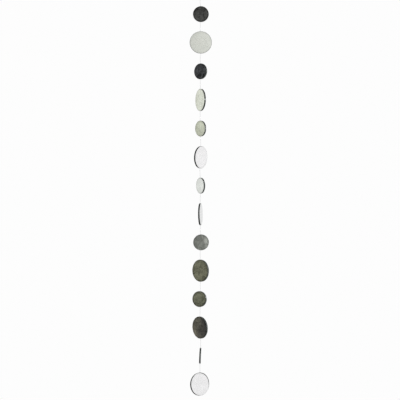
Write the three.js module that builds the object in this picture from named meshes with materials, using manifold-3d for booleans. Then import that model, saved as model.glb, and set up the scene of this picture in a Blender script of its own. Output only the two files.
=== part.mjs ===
// A hanging mirror mobile: round mirrors, glued back to back in pairs along one clear nylon line.
//
// Millimetres, +Z up. The origin is where the loop at the top bears on its hook, and everything hangs
// below it. A disc that hasn't turned faces -Y.

import * as THREE from 'three';
import { mergeVertices } from 'three/addons/utils/BufferGeometryUtils.js';
import Module from 'manifold-3d';

const wasm = await Module();
wasm.setup();

// Discs: each is a front mirror, a sheet of adhesive and a back mirror.
const SMALL = 50;                     // diameter of a small mirror
const LARGE = 70;                     // diameter of a large mirror
const LOWEST = 72.5;                  // diameter of the lowest disc's mirrors, which are cut a little larger
const CLEAR_LINE = 30;                // bare line from a small disc to a large one
const PITCH = (SMALL + LARGE) / 2 + CLEAR_LINE;
const FIRST_DISC_DROP = 72;           // from the hook down to the middle of the top disc
const GLASS = 2;                      // thickness of one mirror
const GROUND_EDGE = 0.4;              // width of the ground bevel round a mirror's face
const ADHESIVE = 1;                   // thickness of the adhesive sheet
const ADHESIVE_INSET = 1.2;           // from the mirrors' edge in to the adhesive's edge
const BONDED_GAP = 0.03;              // between surfaces that are bonded together

// How each disc hangs, from the top down. turn is how far it has twisted from facing -Y, towards +X, and tip
// how far its face looks up, both in degrees. aside is how far its middle is glued to the side of the line,
// and low how far below its even place. Where its back mirror was bonded out of true, backSlid is how far
// across and up that one lies from the front one.
const DISCS = [
  { diameter: SMALL, turn: -4, tip: 0.5, aside: 2, low: 0 },
  { diameter: LARGE, turn: 4, tip: 0, aside: 1.5, low: -0.5 },
  { diameter: SMALL, turn: -39.5, tip: 0.5, aside: 1.5, low: 1 },
  { diameter: LARGE, turn: -65.5, tip: 0.5, aside: 2.5, low: 1.5 },
  { diameter: SMALL, turn: -51, tip: -1.5, aside: 2, low: 2 },
  { diameter: LARGE, turn: 57, tip: -3, aside: 2, low: 2.8 },
  { diameter: SMALL, turn: -60.5, tip: -1, aside: 2.5, low: 2.5 },
  { diameter: LARGE, turn: 81.8, tip: 0.5, aside: 2, low: 3 },
  { diameter: SMALL, turn: 13, tip: -3, aside: 2.5, low: 2 },
  { diameter: LARGE, turn: -45, tip: -0.5, aside: 1.5, low: 1.5 },
  { diameter: SMALL, turn: -29.5, tip: 1, aside: -2.5, low: 1.5 },
  { diameter: LARGE, turn: -49.5, tip: -2.5, aside: -1, low: 1.5 },
  { diameter: SMALL, turn: 88, tip: -2.5, aside: 0, low: 0.5 },
  { diameter: LOWEST, turn: 38, tip: 2.5, aside: -2.3, low: 0, backSlid: [-0.4, -0.5] },
];

// Line: it runs from inside the lowest disc up through every disc to a tied loop.
const LINE = 0.6;                     // diameter
const LINE_PAST_EDGE = 2;             // straight length of line outside a disc before it may bend
const LINE_END_DEPTH = 30;            // how far below the lowest disc's middle the line ends in the adhesive
const LINE_ROOM = 0.05;               // clearance round the line in the adhesive
const KNOT_TOP = -20;                 // height of the knot under the loop
const KNOT_TURNS = 4;
const KNOT_PITCH = 0.66;              // rise of one turn
const KNOT_RADIUS = 1.05;             // middle of the wound line from the knot's axis
const TAG_END = 2.2;                  // trimmed end that stands out of the knot
const STRAND_ASIDE = 0.35;            // each of the two strands in the knot, from its axis

// One side of the loop, from the knot to the top: [distance from the axis, height].
const LOOP_SIDE = [
  [STRAND_ASIDE, KNOT_TOP],
  [2.2, -15],
  [5.6, -7.5],
  [4.4, -2],
  [0, LINE / 2],
];

// Facets
const MIRROR_SIDES = 36;
const ADHESIVE_SIDES = 30;
const LINE_SIDES = 8;
const LOOP_STEPS = 24;
const KNOT_STEPS_A_TURN = 9;

const silvered = { color: 0xd9dddb, roughness: 0.04, metalness: 1 };
const glue = { color: 0x3c413e, roughness: 0.7, metalness: 0 };
const nylon = { color: 0xe6e8e8, roughness: 0.15, metalness: 0 };

function toManifold(geometry) {
  const bare = geometry.clone();
  bare.deleteAttribute('normal');
  bare.deleteAttribute('uv');
  const merged = mergeVertices(bare, 1e-4);
  return new wasm.Manifold(new wasm.Mesh({
    numProp: 3,
    vertProperties: new Float32Array(merged.attributes.position.array),
    triVerts: new Uint32Array(merged.index.array),
  }));
}

function toGeometry(manifold) {
  const { vertProperties, triVerts } = manifold.getMesh();
  const geometry = new THREE.BufferGeometry();
  geometry.setAttribute('position', new THREE.BufferAttribute(vertProperties, 3));
  geometry.setIndex(new THREE.BufferAttribute(triVerts, 1));
  return geometry;
}

function piece(name, geometry, look) {
  const mesh = new THREE.Mesh(geometry, new THREE.MeshStandardMaterial(look));
  mesh.name = name;
  return mesh;
}

// A mirror lies on its silvered back at y = 0 and its face looks along +Y, with a ground edge round it.
function mirrorGeometry(diameter) {
  const radius = diameter / 2;
  const profile = [
    new THREE.Vector2(0, 0),
    new THREE.Vector2(radius, 0),
    new THREE.Vector2(radius, GLASS - GROUND_EDGE),
    new THREE.Vector2(radius - GROUND_EDGE, GLASS),
    new THREE.Vector2(0, GLASS),
  ];
  return new THREE.LatheGeometry(profile, MIRROR_SIDES);
}

// A round sheet with a tunnel for the line, which passes beside its middle and ends at depth below it.
function adhesiveGeometry(diameter, aside, depth) {
  const radius = diameter / 2 - ADHESIVE_INSET;
  const sheet = toManifold(new THREE.CylinderGeometry(radius, radius, ADHESIVE, ADHESIVE_SIDES));
  const boreRadius = (LINE / 2 + LINE_ROOM) / Math.cos(Math.PI / LINE_SIDES);
  const boreLength = radius + depth;
  const bore = new THREE.CylinderGeometry(boreRadius, boreRadius, boreLength, LINE_SIDES);
  bore.rotateX(Math.PI / 2);
  bore.translate(-aside, 0, radius - boreLength / 2);
  return toGeometry(sheet.subtract(toManifold(bore)));
}

const discHeight = (index) => -FIRST_DISC_DROP - index * PITCH - DISCS[index].low;

// A disc stands in its own group, turned and tipped about the point where the line crosses its middle.
function disc(index) {
  const { diameter, turn, tip, aside, backSlid = [0, 0] } = DISCS[index];
  const number = String(index + 1).padStart(2, '0');
  const isLowest = index === DISCS.length - 1;
  const depth = isLowest ? LINE_END_DEPTH + LINE_ROOM : diameter / 2;

  const front = piece(`mirror_${number}_front`, mirrorGeometry(diameter), silvered);
  front.rotation.x = Math.PI;
  front.position.y = -(ADHESIVE / 2 + BONDED_GAP);

  const back = piece(`mirror_${number}_back`, mirrorGeometry(diameter), silvered);
  back.position.set(backSlid[0], ADHESIVE / 2 + BONDED_GAP, backSlid[1]);

  const sheet = piece(`adhesive_${number}`, adhesiveGeometry(diameter, aside, depth), glue);

  const centred = new THREE.Group();
  centred.position.x = aside;
  centred.add(front, back, sheet);

  const hung = new THREE.Group();
  hung.position.z = discHeight(index);
  hung.rotation.set(THREE.MathUtils.degToRad(-tip), 0, THREE.MathUtils.degToRad(turn), 'ZYX');
  hung.add(centred);
  return hung;
}

// Goes straight from each of its points to the next, one step of an extrusion for each.
class PointToPoint extends THREE.Curve {
  constructor(points) {
    super();
    this.points = points;
  }

  getUtoTmapping(u) {
    return u;
  }

  getPoint(t) {
    const last = this.points.length - 1;
    const start = Math.min(Math.floor(t * last), last - 1);
    return this.points[start].clone().lerp(this.points[start + 1], t * last - start);
  }
}

function lineAlong(points) {
  const section = new THREE.Shape();
  for (let side = 0; side < LINE_SIDES; side += 1) {
    const angle = (side / LINE_SIDES) * 2 * Math.PI;
    const corner = [(LINE / 2) * Math.cos(angle), (LINE / 2) * Math.sin(angle)];
    if (side === 0) section.moveTo(...corner);
    else section.lineTo(...corner);
  }
  section.closePath();
  return new THREE.ExtrudeGeometry(section, {
    steps: points.length - 1,
    extrudePath: new PointToPoint(points),
    bevelEnabled: false,
  });
}

// Where the line leaves a disc, above or below it. The line lies in the middle plane of each disc.
function lineAtEdge(index, side) {
  const { diameter, turn, tip, aside } = DISCS[index];
  const isLowest = index === DISCS.length - 1;
  const along = isLowest && side < 0
    ? LINE_END_DEPTH
    : Math.sqrt((diameter / 2) ** 2 - aside ** 2) + LINE_PAST_EDGE;
  return new THREE.Vector3(0, 0, side * along)
    .applyAxisAngle(new THREE.Vector3(1, 0, 0), THREE.MathUtils.degToRad(-tip))
    .applyAxisAngle(new THREE.Vector3(0, 0, 1), THREE.MathUtils.degToRad(turn))
    .add(new THREE.Vector3(0, 0, discHeight(index)));
}

const knotHeight = KNOT_TURNS * KNOT_PITCH;

// From its end in the lowest disc up through all of them, round the loop, and back down through the knot.
function linePoints() {
  const points = [];
  for (let index = DISCS.length - 1; index >= 0; index -= 1) {
    points.push(lineAtEdge(index, -1), lineAtEdge(index, 1));
  }
  points.push(new THREE.Vector3(-STRAND_ASIDE, 0, KNOT_TOP - knotHeight - LINE));
  const rising = LOOP_SIDE.map(([across, height]) => new THREE.Vector3(-across, 0, height));
  const falling = LOOP_SIDE.slice(0, -1).reverse()
    .map(([across, height]) => new THREE.Vector3(across, 0, height));
  points.push(...new THREE.CatmullRomCurve3([...rising, ...falling]).getPoints(LOOP_STEPS));
  points.push(new THREE.Vector3(STRAND_ASIDE, 0, KNOT_TOP - knotHeight - LINE));
  return points;
}

// Turns of line wound round the two strands, ending in a trimmed tag that stands out.
function knotPoints() {
  const points = [];
  const steps = KNOT_TURNS * KNOT_STEPS_A_TURN;
  points.push(new THREE.Vector3(KNOT_RADIUS, -TAG_END, KNOT_TOP - knotHeight));
  for (let step = 0; step <= steps; step += 1) {
    const angle = (step / KNOT_STEPS_A_TURN) * 2 * Math.PI;
    points.push(new THREE.Vector3(
      KNOT_RADIUS * Math.cos(angle),
      KNOT_RADIUS * Math.sin(angle),
      KNOT_TOP - knotHeight + (step / steps) * knotHeight,
    ));
  }
  return points;
}

const mobile = new THREE.Group();
DISCS.forEach((_, index) => mobile.add(disc(index)));
mobile.add(piece('nylon_line', lineAlong(linePoints()), nylon));
mobile.add(piece('loop_knot', lineAlong(knotPoints()), nylon));

export default mobile;
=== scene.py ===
"""A hanging mirror mobile: round mirrors glued back to back in pairs along one clear nylon line.

Metres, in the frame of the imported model: +Z up, the origin on the hook, the viewer in front at -Y.
"""
import math
import random

import bmesh
import bpy
import numpy as np
from mathutils import Matrix, Vector


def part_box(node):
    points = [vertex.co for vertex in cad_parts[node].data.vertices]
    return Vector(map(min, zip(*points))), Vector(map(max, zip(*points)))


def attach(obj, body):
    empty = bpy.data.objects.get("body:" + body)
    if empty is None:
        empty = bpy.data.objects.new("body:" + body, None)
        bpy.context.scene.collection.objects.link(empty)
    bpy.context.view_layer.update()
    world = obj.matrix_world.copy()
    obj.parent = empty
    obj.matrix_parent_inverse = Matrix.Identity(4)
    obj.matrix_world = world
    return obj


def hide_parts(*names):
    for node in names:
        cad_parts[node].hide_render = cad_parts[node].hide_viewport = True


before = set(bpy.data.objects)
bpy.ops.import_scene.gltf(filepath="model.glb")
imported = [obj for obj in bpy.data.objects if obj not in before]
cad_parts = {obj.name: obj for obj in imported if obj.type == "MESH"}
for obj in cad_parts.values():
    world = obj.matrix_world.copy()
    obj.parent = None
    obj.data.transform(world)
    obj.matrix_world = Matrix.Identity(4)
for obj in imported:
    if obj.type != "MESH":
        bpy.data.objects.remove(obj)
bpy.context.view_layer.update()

MM = 0.001

# The mobile, as in the CAD source
DISC_COUNT = 14
GLASS = 2 * MM                  # thickness of one mirror
GROUND_EDGE = 0.4 * MM          # bevel round a mirror's face
ADHESIVE = 1 * MM
ADHESIVE_INSET = 1.2 * MM
LINE = 0.6 * MM                 # diameter of the nylon line
LINE_PAST_EDGE = 2 * MM
LINE_END_DEPTH = 30 * MM        # below the middle of the lowest disc
KNOT_TOP = -20 * MM
KNOT_TURNS = 4
KNOT_PITCH = 0.66 * MM
KNOT_RADIUS = 1.05 * MM
TAG_END = 2.2 * MM
STRAND_ASIDE = 0.35 * MM
KNOT_HEIGHT = KNOT_TURNS * KNOT_PITCH
BELOW_KNOT = KNOT_TOP - KNOT_HEIGHT - LINE

# One side of the loop, from the knot to the top: distance from the axis, height, in millimetres
LOOP_SIDE = [(0.35, -20), (2.2, -15), (5.6, -7.5), (4.4, -2), (0, 0.3)]

# Finer shape than the CAD solids have
MIRROR_SIDES = 144
BACK_ARRIS = 0.15 * MM          # broken corner at the silvered side
DARK_RIM = 0.35 * MM            # where the silvering stops short of the ground edge
SILVER_WANDER = 0.12 * MM       # how unevenly it stops
EDGE_WANDER = 0.05 * MM         # how unevenly the edge is ground
ADHESIVE_WANDER = 0.35 * MM     # how unevenly the adhesive is cut
ADHESIVE_BULGE = 0.2 * MM       # how far the middle of its edge stands out
KNOT_STEPS_A_TURN = 16
SHARP_ANGLE = 20                # degrees: a smooth face ends at a sharper corner than this

# How much of their silver a disc's mirrors have lost where the silvering ends, from the top disc down. The
# loss shrinks to nothing over THINNED_WIDTH from there in.
THINNED_SILVER = [0.42, 0.1, 0.28, 0.14, 0.12, 0.06, 0.2, 0.1, 0.14, 0.46, 0.46, 0.3, 0.1, 0.05]
THINNED_WIDTH = 5.5 * MM
SILVER_SHARE = "silver_share"   # the mesh attribute that says how much is left

# Where a mirror's silvering stops further in from its edge, widening its dark rim: the mirror, the
# direction from its middle in degrees (from its right towards its top), how far in, and how much nearer the
# edge the silvering is elsewhere
LOST_SILVER = {"mirror_14_front": (40, 2 * MM, 0.3 * MM)}
PATCH_CORE = 0.9                # cosine of how far to each side of there the patch is at its deepest
PATCH_EDGE = 0.4                # and of how far to each side it reaches

# Surfaces of two tones
DARK_BELOW = 0.35               # the noise at which such a surface is at its darkest
LIGHT_ABOVE = 0.65              # and at its lightest

# Camera: level with the middle of what it sees, straight in front
VIEW_HEIGHT = 1.2656            # how much it sees at the mobile, in height and in width
VIEW_CENTRE = (-0.0009, -0.660)
CAMERA_DISTANCE = 6.0
SENSOR = 36.0                   # its sensor's width, in millimetres like its lens

# Studio
PALE = 0.982                    # the pale surroundings that the camera sees
FLOOR_DROP = 0.32               # the floor, below the lowest disc
FLOOR_RADIUS = 2.9
# Painted shade: the floor's glow is darkest in its middle, under the mobile, and pales to PALE at its edge
FLOOR_SHADED_MIDDLE = (0.86, 0.86, 0.855)
FLOOR_SIDES = 96
ROOM = (0.06, 0.06, 0.058)      # the dim room that light and reflections meet between the cards
CARD_RADIUS = 2.0               # the cards stand in a ring round the mobile
WINDOW_RADIUS = 1.95            # and the windows just in front of them
CARD_STEP = 3                   # degrees of a card to one of its facets, or about that

# A Mix node's colour sockets, by number: it has others with the same names
MIX_FROM = 6
MIX_TO = 7
MIXED = 2

# What stands round the mobile for the mirrors to reflect: name, azimuth from and to (0 towards the camera,
# 90 to its right), height from and to, its colours at the two azimuths, and how mottled it is.
CARDS = [
    ("flag_behind_camera", -40, 1.5, -0.45, 0.9, (0.042, 0.042, 0.04), (0.045, 0.045, 0.043), 0.75),
    ("flag_low_left", -40, -24, -1.9, -0.45, (0.06, 0.06, 0.058), (0.07, 0.07, 0.067), 0.6),
    ("pale_panel_front", -24, 12, -1.9, -0.45, (0.45, 0.46, 0.45), (0.45, 0.46, 0.45), 0.1),
    ("softbox_edge", 1.5, 14, -0.45, 0.7, (0.53, 0.53, 0.49), (0.95, 0.96, 0.9), 0.05),
    ("softbox", 14, 39, -0.45, 0.7, (0.95, 0.96, 0.9), (0.8, 0.8, 0.76), 0.05),
    ("dark_corner_right", 12, 24.5, -1.9, -0.45, (0.06, 0.06, 0.055), (0.08, 0.085, 0.07), 0.5),
    ("grey_card_right", 24.5, 28, -1.9, -0.45, (0.08, 0.085, 0.07), (0.42, 0.43, 0.4), 0.4),
    ("grey_wall_right", 28, 44, -1.9, -0.45, (0.42, 0.43, 0.4), (0.5, 0.5, 0.47), 0.1),
    ("white_wall_right", 60, 150, -1.9, 0.9, (1.0, 0.98, 1.0), (1.0, 0.98, 1.0), 0.04),
    ("white_wall_back", 150, 215, -1.9, 0.9, (0.83, 0.83, 0.83), (0.86, 0.86, 0.86), 0.03),
    ("cream_panel_left", 225, 232, -0.45, 0.05, (0.4, 0.41, 0.33), (1.03, 1.05, 0.95), 0.2),
    ("white_wall_left", 234, 245, -0.95, 0.9, (0.55, 0.56, 0.54), (1.22, 1.24, 1.2), 0.06),
    ("sage_panel_left", 255, 261, -0.6, -0.15, (0.38, 0.4, 0.3), (0.76, 0.78, 0.66), 0.22),
    ("brown_panel_left", 256, 262, -1.9, -1.14, (0.32, 0.29, 0.21), (0.02, 0.022, 0.027), 0.5),
    ("dark_corner_left", 262, 320, -1.9, -1.14, (0.03, 0.032, 0.036), (0.05, 0.05, 0.05), 0.5),
    ("olive_panel_left", 255, 285, -1.14, -0.7, (0.17, 0.166, 0.12), (0.15, 0.15, 0.1), 0.55),
    ("olive_panel_front", 285, 320, -1.14, -0.7, (0.15, 0.15, 0.1), (0.12, 0.125, 0.09), 0.55),
    ("flag_left", 264, 320, -0.7, 0.9, (0.038, 0.04, 0.044), (0.06, 0.062, 0.066), 0.9),
]

# Bright windows for the ground edges to reflect: name, azimuth from and to, height from and to, brightness
WINDOWS = [
    ("window_front", 46, 52, -0.38, -0.1, 12.0),
    ("window_right_high", 95, 106, -0.3, 0.1, 2.0),
    ("window_right_middle", 71, 79, -0.7, 2.2, 5.0),
    ("window_right_low", 118, 126, -0.8, -0.4, 8.0),
    ("window_left", 290, 299, -0.62, -0.34, 1.2),
]


def colour(r, g, b):
    return (r, g, b, 1.0)


def add_object(name, data):
    piece = bpy.data.objects.new(name, data)
    bpy.context.scene.collection.objects.link(piece)
    return piece


def add_mesh(name, bm, materials):
    """An object with the mesh built in bm, which ends here."""
    mesh = bpy.data.meshes.new(name)
    bm.to_mesh(mesh)
    bm.free()
    for material in materials:
        mesh.materials.append(material)
    return add_object(name, mesh)


def make_camera():
    data = bpy.data.cameras.new("camera")
    data.sensor_width = SENSOR
    data.lens = SENSOR * CAMERA_DISTANCE / VIEW_HEIGHT
    data.clip_end = 100.0
    camera = add_object("camera", data)
    camera.location = (VIEW_CENTRE[0], -CAMERA_DISTANCE, VIEW_CENTRE[1])
    camera.rotation_euler = (math.radians(90), 0, 0)
    bpy.context.scene.camera = camera


# ---- Where the discs are, from the CAD model ----------------------------------------------------------

def node_points(name):
    return np.array([vertex.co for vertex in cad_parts[name].data.vertices], float)


def flat_direction(name):
    """Square to the node's largest facet, which is on one of a mirror's two flat sides."""
    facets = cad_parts[name].data.polygons
    return max(facets, key=lambda facet: facet.area).normal.copy()


class Disc:
    """A disc's place: its centre, which way its front faces, its radius, and where the line crosses it."""

    def __init__(self, number):
        self.number = f"{number:02d}"
        front = node_points(f"mirror_{self.number}_front")
        back = node_points(f"mirror_{self.number}_back")
        square = flat_direction(f"mirror_{self.number}_front")
        towards_front = Vector(front.mean(0) - back.mean(0))
        self.front = square if square.dot(towards_front) > 0 else -square
        self.across = Vector((0, 0, 1)).cross(self.front).normalized()
        self.up = self.front.cross(self.across)
        self.radius = np.ptp(front @ np.array(self.across)) / 2
        self.centre = self.middle_of(f"adhesive_{self.number}")
        self.aside = self.centre.x * self.across.x + self.centre.y * self.across.y
        self.line_crossing = self.centre - self.across * self.aside

    def middle_of(self, node):
        """The middle of a node of the disc, between its ends along each of the disc's own directions."""
        axes = np.array([self.across, self.front, self.up])
        along = node_points(node) @ axes.T
        return Vector((along.max(0) + along.min(0)) / 2 @ axes)

    def place(self, node):
        """From a piece's own axes (X across, Y to the back, Z up) to where the node is."""
        axes = Matrix((self.across, -self.front, self.up)).transposed()
        return Matrix.Translation(self.middle_of(node)) @ axes.to_4x4()

    def line_at_edge(self, side):
        """Where the line is just clear of the disc, above it (side 1) or below it (side -1)."""
        along = math.sqrt(self.radius**2 - self.aside**2) + LINE_PAST_EDGE
        return self.line_crossing + self.up * side * along


discs = [Disc(number) for number in range(1, DISC_COUNT + 1)]


# ---- Materials ----------------------------------------------------------------------------------------

def new_material(name):
    """A material with a Principled shader, and a function that adds a node and sets its inputs."""
    material = bpy.data.materials.new(name)
    material.use_nodes = True
    tree = material.node_tree
    shader = tree.nodes["Principled BSDF"]

    def add(kind, **inputs):
        node = tree.nodes.new(kind)
        for key, value in inputs.items():
            node.inputs[key.replace("_", " ")].default_value = value
        return node

    return material, tree, shader, add


def noise(tree, add, scale, detail=3.0, roughness=0.5):
    """Noise in the object's own space. scale is features per metre."""
    place = add("ShaderNodeTexCoord")
    texture = add("ShaderNodeTexNoise", Scale=scale, Detail=detail, Roughness=roughness)
    tree.links.new(place.outputs["Object"], texture.inputs["Vector"])
    return texture.outputs["Fac"]


def between(tree, add, source, low, high, from_low=0.3, from_high=0.7):
    """A number from low to high, as source goes from from_low to from_high."""
    node = add("ShaderNodeMapRange")
    node.inputs["From Min"].default_value = from_low
    node.inputs["From Max"].default_value = from_high
    node.inputs["To Min"].default_value = low
    node.inputs["To Max"].default_value = high
    tree.links.new(source, node.inputs["Value"])
    return node.outputs["Result"]


def two_tone(tree, add, source, dark, light):
    """A colour from dark to light, as source goes from DARK_BELOW to LIGHT_ABOVE."""
    ramp = add("ShaderNodeValToRGB")
    ramp.color_ramp.elements[0].position = DARK_BELOW
    ramp.color_ramp.elements[0].color = dark
    ramp.color_ramp.elements[1].position = LIGHT_ABOVE
    ramp.color_ramp.elements[1].color = light
    tree.links.new(source, ramp.inputs["Fac"])
    return ramp.outputs["Color"]


def bump(tree, add, shader, source, distance, strength=1.0):
    node = add("ShaderNodeBump", Strength=strength, Distance=distance)
    tree.links.new(source, node.inputs["Height"])
    tree.links.new(node.outputs["Normal"], shader.inputs["Normal"])


def silvered_face():
    """Silvered glass, with a film of dust and handling, and the slight unevenness of sheet glass."""
    material, tree, shader, add = new_material("silvered_face")
    dust = noise(tree, add, scale=300, detail=4, roughness=0.65)
    clean = between(tree, add, dust, 1.0, 0.82, from_low=0.45, from_high=0.65)
    tree.links.new(clean, shader.inputs["Metallic"])
    haze = noise(tree, add, scale=90, detail=5, roughness=0.6)
    tree.links.new(between(tree, add, haze, 0.008, 0.035), shader.inputs["Roughness"])
    tone = noise(tree, add, scale=35, detail=2)
    silver = two_tone(tree, add, tone, colour(0.845, 0.862, 0.848), colour(0.868, 0.876, 0.866))
    share = add("ShaderNodeAttribute")
    share.attribute_name = SILVER_SHARE
    left = add("ShaderNodeVectorMath")
    left.operation = "SCALE"
    tree.links.new(silver, left.inputs["Vector"])
    tree.links.new(share.outputs["Fac"], left.inputs["Scale"])
    tree.links.new(left.outputs["Vector"], shader.inputs["Base Color"])
    bump(tree, add, shader, noise(tree, add, scale=28, detail=1), distance=0.2 * MM)
    return material


def dark_rim():
    """The ring of a mirror's face where there's no silver behind the glass, and its dark backing shows."""
    material, tree, shader, add = new_material("dark_rim")
    shader.inputs["Roughness"].default_value = 0.08
    shader.inputs["Coat Weight"].default_value = 0.6
    mottle = noise(tree, add, scale=700, detail=4)
    tone = two_tone(tree, add, mottle, colour(0.05, 0.056, 0.053), colour(0.14, 0.15, 0.145))
    tree.links.new(tone, shader.inputs["Base Color"])
    return material


def ground_edge():
    """The edge of the glass, ground and half polished: grey-green, with fine marks left by the belt."""
    material, tree, shader, add = new_material("ground_edge")
    shader.inputs["Specular IOR Level"].default_value = 1.0
    grain = noise(tree, add, scale=2600, detail=4, roughness=0.7)
    cloud = noise(tree, add, scale=160, detail=3)
    tone = two_tone(tree, add, cloud, colour(0.11, 0.14, 0.126), colour(0.18, 0.215, 0.197))
    tree.links.new(tone, shader.inputs["Base Color"])
    tree.links.new(between(tree, add, grain, 0.06, 0.18), shader.inputs["Roughness"])
    bump(tree, add, shader, grain, distance=0.01 * MM, strength=0.4)
    return material


def back_paint():
    """The grey paint that protects the silvering."""
    material, tree, shader, add = new_material("back_paint")
    cloud = noise(tree, add, scale=300, detail=3)
    tone = two_tone(tree, add, cloud, colour(0.12, 0.125, 0.13), colour(0.17, 0.175, 0.18))
    tree.links.new(tone, shader.inputs["Base Color"])
    tree.links.new(between(tree, add, cloud, 0.5, 0.7), shader.inputs["Roughness"])
    return material


def adhesive_sheet():
    material, tree, shader, add = new_material("adhesive_sheet")
    lumps = noise(tree, add, scale=1500, detail=3)
    tone = two_tone(tree, add, lumps, colour(0.018, 0.02, 0.019), colour(0.05, 0.053, 0.05))
    tree.links.new(tone, shader.inputs["Base Color"])
    tree.links.new(between(tree, add, lumps, 0.55, 0.85), shader.inputs["Roughness"])
    bump(tree, add, shader, lumps, distance=0.05 * MM)
    return material


def clear_nylon():
    material, tree, shader, add = new_material("clear_nylon")
    shader.inputs["Base Color"].default_value = colour(0.72, 0.74, 0.74)
    shader.inputs["Transmission Weight"].default_value = 0.5
    shader.inputs["IOR"].default_value = 1.53
    rubbed = noise(tree, add, scale=900, detail=3)
    tree.links.new(between(tree, add, rubbed, 0.03, 0.14), shader.inputs["Roughness"])
    return material


# ---- Mirrors and adhesive -----------------------------------------------------------------------------

def wander(seed, size, waves=(3, 5, 8, 13)):
    """An uneven ripple round a circle, up to about size: a sum of sines with the numbers in waves."""
    rng = random.Random(seed)
    terms = [(count, rng.uniform(0, 2 * math.pi), rng.uniform(0.4, 1.0)) for count in waves]
    total = sum(weight for _, _, weight in terms)
    return lambda angle: size * sum(w * math.sin(n * angle + p) for n, p, w in terms) / total


def ring_corners(bm, radius_at, y, share):
    """A ring of corners round the Y axis, each with the share of its silver that is left."""
    silver_share = bm.verts.layers.float[SILVER_SHARE]
    corners = []
    for side in range(MIRROR_SIDES):
        angle = 2 * math.pi * side / MIRROR_SIDES
        radius = radius_at(angle)
        corner = bm.verts.new((radius * math.cos(angle), y, radius * math.sin(angle)))
        corner[silver_share] = share
        corners.append(corner)
    return corners


def join_rings(bm, lower, upper, material_index):
    """The band of faces between two rings of corners."""
    for side in range(MIRROR_SIDES):
        after = (side + 1) % MIRROR_SIDES
        face = bm.faces.new((lower[side], upper[side], upper[after], lower[after]))
        face.material_index = material_index
        face.smooth = True


def turned_solid(name, rings, materials, matrix):
    """A closed solid of rings round its own Y axis, with a flat cap at each end.

    Each ring is (radius as a function of the angle, y, which material is on the band after it, and how much
    of its silver the solid has there). The first cap has the first material, and the last the last ring's.
    """
    bm = bmesh.new()
    bm.verts.layers.float.new(SILVER_SHARE)
    loops = [ring_corners(bm, radius_at, y, share) for radius_at, y, _, share in rings]
    bands = [material_index for _, _, material_index, _ in rings]
    for lower, upper, material_index in zip(loops, loops[1:], bands):
        join_rings(bm, lower, upper, material_index)
    bm.faces.new(loops[0]).material_index = 0
    bm.faces.new(reversed(loops[-1])).material_index = bands[-1]
    bmesh.ops.recalc_face_normals(bm, faces=bm.faces)
    bm.transform(matrix)
    piece = add_mesh(name, bm, materials)
    piece.data.set_sharp_from_angle(angle=math.radians(SHARP_ANGLE))
    return piece


def steady(radius):
    return lambda angle: radius


def lost_silver(node, angle):
    """How much further in than usual a mirror's silvering stops, in a patch that tapers at both ends."""
    direction, depth, spared = LOST_SILVER.get(node, (0, 0, 0))
    nearness = math.cos(angle - math.radians(direction))
    inside = (nearness - PATCH_EDGE) / (PATCH_CORE - PATCH_EDGE)
    return max(-spared, depth * min(1.0, inside))


def make_mirror(disc, side_name, faces_front, materials):
    """One mirror of a disc: silvered and painted side on the adhesive, polished face outwards."""
    node = f"mirror_{disc.number}_{side_name}"
    ripple = wander(node, EDGE_WANDER)
    fringe = wander(node + "_silver", SILVER_WANDER, waves=(2, 5, 9, 17, 29))
    bevel = lambda angle: disc.radius - GROUND_EDGE + ripple(angle)
    silver_end = lambda angle: bevel(angle) - DARK_RIM + fringe(angle) - lost_silver(node, angle)
    full_silver = lambda angle: silver_end(angle) - THINNED_WIDTH
    share_left = 1 - THINNED_SILVER[int(disc.number) - 1]
    outwards = -1 if faces_front else 1
    edge, rim, silver = 1, 2, 3     # places in materials, after the paint on the first cap
    rings = [
        (steady(disc.radius - BACK_ARRIS), outwards * -GLASS / 2, edge, 0),
        (steady(disc.radius), outwards * (BACK_ARRIS - GLASS / 2), edge, 0),
        (steady(disc.radius), outwards * (GLASS / 2 - GROUND_EDGE), edge, 0),
        (bevel, outwards * GLASS / 2, rim, 0),
        (silver_end, outwards * GLASS / 2, silver, share_left),
        (full_silver, outwards * GLASS / 2, silver, 1),
    ]
    piece = turned_solid(f"glass_{disc.number}_{side_name}", rings, materials, disc.place(node))
    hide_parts(node)
    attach(piece, "root")


def make_adhesive(disc, material):
    node = f"adhesive_{disc.number}"
    ripple = wander(node, ADHESIVE_WANDER, waves=(2, 3, 7, 11))
    radius = disc.radius - ADHESIVE_INSET
    edge = lambda angle: radius + ripple(angle)
    bulge = lambda angle: edge(angle) + ADHESIVE_BULGE
    rings = [
        (edge, -ADHESIVE / 2, 0, 0),
        (bulge, -ADHESIVE / 6, 0, 0),
        (bulge, ADHESIVE / 6, 0, 0),
        (edge, ADHESIVE / 2, 0, 0),
    ]
    piece = turned_solid(f"bond_{disc.number}", rings, [material], disc.place(node))
    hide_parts(node)
    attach(piece, "root")


# ---- Line ---------------------------------------------------------------------------------------------

def tube(name, points, smooth_from, material):
    """A round line through points, straight up to the point smooth_from and curved after it."""
    data = bpy.data.curves.new(name, "CURVE")
    data.dimensions = "3D"
    data.bevel_depth = LINE / 2
    data.bevel_resolution = 4
    data.resolution_u = 10
    data.use_fill_caps = True
    spline = data.splines.new("BEZIER")
    spline.bezier_points.add(len(points) - 1)
    for index, (control, point) in enumerate(zip(spline.bezier_points, points)):
        kind = "AUTO" if index >= smooth_from else "VECTOR"
        control.co = point
        control.handle_left_type = kind
        control.handle_right_type = kind
    data.materials.append(material)
    piece = add_object(name, data)
    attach(piece, "root")
    return piece


def hanging_points():
    """The straight part of the line, from its end in the lowest disc up through all of them to the knot."""
    lowest = discs[-1]
    points = [lowest.line_crossing - lowest.up * LINE_END_DEPTH, lowest.line_at_edge(1)]
    for disc in reversed(discs[:-1]):
        points += [disc.line_at_edge(-1), disc.line_at_edge(1)]
    points.append(Vector((-STRAND_ASIDE, 0, BELOW_KNOT)))
    return points


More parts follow.
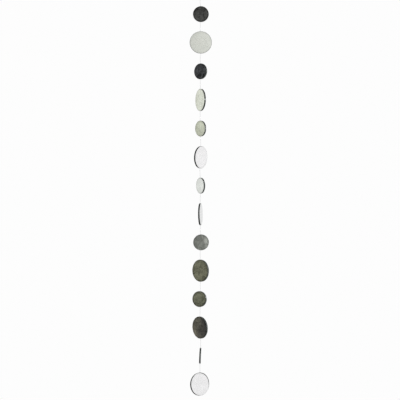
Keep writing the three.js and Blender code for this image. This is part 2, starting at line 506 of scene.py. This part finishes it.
def loop_points():
    """The rest of the line: up through the knot, round the loop, and back down through the knot."""
    rising = [Vector((-across * MM, 0, height * MM)) for across, height in LOOP_SIDE]
    falling = [Vector((across * MM, 0, height * MM)) for across, height in LOOP_SIDE[-2::-1]]
    return rising + falling + [Vector((STRAND_ASIDE, 0, BELOW_KNOT))]


def knot_points():
    """Turns of line wound upwards round the two strands, from a trimmed tag that stands out."""
    steps = KNOT_TURNS * KNOT_STEPS_A_TURN
    points = [Vector((KNOT_RADIUS, -TAG_END, KNOT_TOP - KNOT_HEIGHT))]
    for step in range(steps + 1):
        angle = 2 * math.pi * step / KNOT_STEPS_A_TURN
        height = KNOT_TOP - KNOT_HEIGHT * (1 - step / steps)
        points.append(Vector((KNOT_RADIUS * math.cos(angle), KNOT_RADIUS * math.sin(angle), height)))
    return points


def make_line(material):
    hanging = hanging_points()
    points = hanging + loop_points()
    line = tube("line", points, len(hanging), material)
    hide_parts("nylon_line")
    knot = tube("knot", knot_points(), 1, material)
    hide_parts("loop_knot")


# ---- Studio -------------------------------------------------------------------------------------------

def glowing(name, start, end, mottle):
    """A glow that shades from start at u = 0 to end at u = 1, with fine clutter as strong as mottle."""
    material, tree, shader, add = new_material(name)
    tree.nodes.remove(shader)
    place = add("ShaderNodeTexCoord")
    split = add("ShaderNodeSeparateXYZ")
    shade = add("ShaderNodeMix")
    shade.data_type = "RGBA"
    shade.inputs[MIX_FROM].default_value = colour(*start)
    shade.inputs[MIX_TO].default_value = colour(*end)
    clutter = noise(tree, add, scale=60, detail=6, roughness=0.75)
    patches = between(tree, add, clutter, 1 - mottle, 1 + mottle, from_low=0.4, from_high=0.6)
    scaled = add("ShaderNodeVectorMath")
    scaled.operation = "SCALE"
    glow = add("ShaderNodeEmission")
    tree.links.new(place.outputs["UV"], split.inputs["Vector"])
    tree.links.new(split.outputs["X"], shade.inputs["Factor"])
    tree.links.new(shade.outputs[MIXED], scaled.inputs["Vector"])
    tree.links.new(patches, scaled.inputs["Scale"])
    tree.links.new(scaled.outputs["Vector"], glow.inputs["Color"])
    tree.links.new(glow.outputs["Emission"], tree.nodes["Material Output"].inputs["Surface"])
    return material


def stage_object(name, bm, material):
    piece = add_mesh(name, bm, [material])
    return piece


def make_card(name, azimuth_from, azimuth_to, low, high, start, end, mottle, radius=CARD_RADIUS):
    """A curved card that only reflections and light see, so that it hides nothing from the camera."""
    bm = bmesh.new()
    uv = bm.loops.layers.uv.new("card")
    steps = max(2, round((azimuth_to - azimuth_from) / CARD_STEP))
    columns = []
    for step in range(steps + 1):
        azimuth = math.radians(azimuth_from + (azimuth_to - azimuth_from) * step / steps)
        x = radius * math.sin(azimuth)
        y = -radius * math.cos(azimuth)
        columns.append((bm.verts.new((x, y, low)), bm.verts.new((x, y, high))))
    for step in range(steps):
        (a, b), (c, d) = columns[step], columns[step + 1]
        face = bm.faces.new((a, c, d, b))
        for corner, u in zip(face.loops, (step, step + 1, step + 1, step)):
            corner[uv].uv = (u / steps, 0.5)
    card = stage_object(name, bm, glowing(name, start, end, mottle))
    card.visible_camera = False


def make_floor():
    """A round floor that light and reflections don't meet: it glows, with painted shade in its middle under
    the mobile, and pales towards its edge.
    """
    bm = bmesh.new()
    uv = bm.loops.layers.uv.new("floor")
    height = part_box("mirror_14_front")[0].z - FLOOR_DROP
    middle = bm.verts.new((0, 0, height))
    ring = []
    for side in range(FLOOR_SIDES):
        angle = 2 * math.pi * side / FLOOR_SIDES
        ring.append(bm.verts.new((FLOOR_RADIUS * math.cos(angle), FLOOR_RADIUS * math.sin(angle), height)))
    for side in range(FLOOR_SIDES):
        face = bm.faces.new((middle, ring[side], ring[(side + 1) % FLOOR_SIDES]))
        for corner, u in zip(face.loops, (0, 1, 1)):
            corner[uv].uv = (u, 0.5)
    # painted shade: the floor glows darkest in its middle, under the mobile, and palest at its edge
    floor = stage_object("floor", bm, glowing("floor", FLOOR_SHADED_MIDDLE, (PALE, PALE, PALE), mottle=0.0))
    floor.visible_glossy = False
    floor.visible_diffuse = False


def make_world():
    """Pale all round for the camera, and a soft dim room for light and reflections."""
    world = bpy.data.worlds.new("studio")
    bpy.context.scene.world = world
    world.use_nodes = True
    tree = world.node_tree
    tree.nodes.clear()
    path = tree.nodes.new("ShaderNodeLightPath")
    pale = tree.nodes.new("ShaderNodeBackground")
    pale.inputs["Color"].default_value = colour(PALE, PALE, PALE)
    room = tree.nodes.new("ShaderNodeBackground")
    room.inputs["Color"].default_value = colour(*ROOM)
    choose = tree.nodes.new("ShaderNodeMixShader")
    output = tree.nodes.new("ShaderNodeOutputWorld")
    tree.links.new(path.outputs["Is Camera Ray"], choose.inputs["Fac"])
    tree.links.new(room.outputs["Background"], choose.inputs[1])
    tree.links.new(pale.outputs["Background"], choose.inputs[2])
    tree.links.new(choose.outputs["Shader"], output.inputs["Surface"])


make_camera()
make_line(clear_nylon())

mirror_materials = [back_paint(), ground_edge(), dark_rim(), silvered_face()]
adhesive_material = adhesive_sheet()
for disc in discs:
    make_mirror(disc, "front", True, mirror_materials)
    make_mirror(disc, "back", False, mirror_materials)
    make_adhesive(disc, adhesive_material)

for card in CARDS:
    make_card(*card)
for *place, brightness in WINDOWS:
    make_card(*place, [brightness] * 3, [brightness] * 3, mottle=0.0, radius=WINDOW_RADIUS)
make_floor()
make_world()
bpy.context.scene.view_settings.view_transform = "Standard"
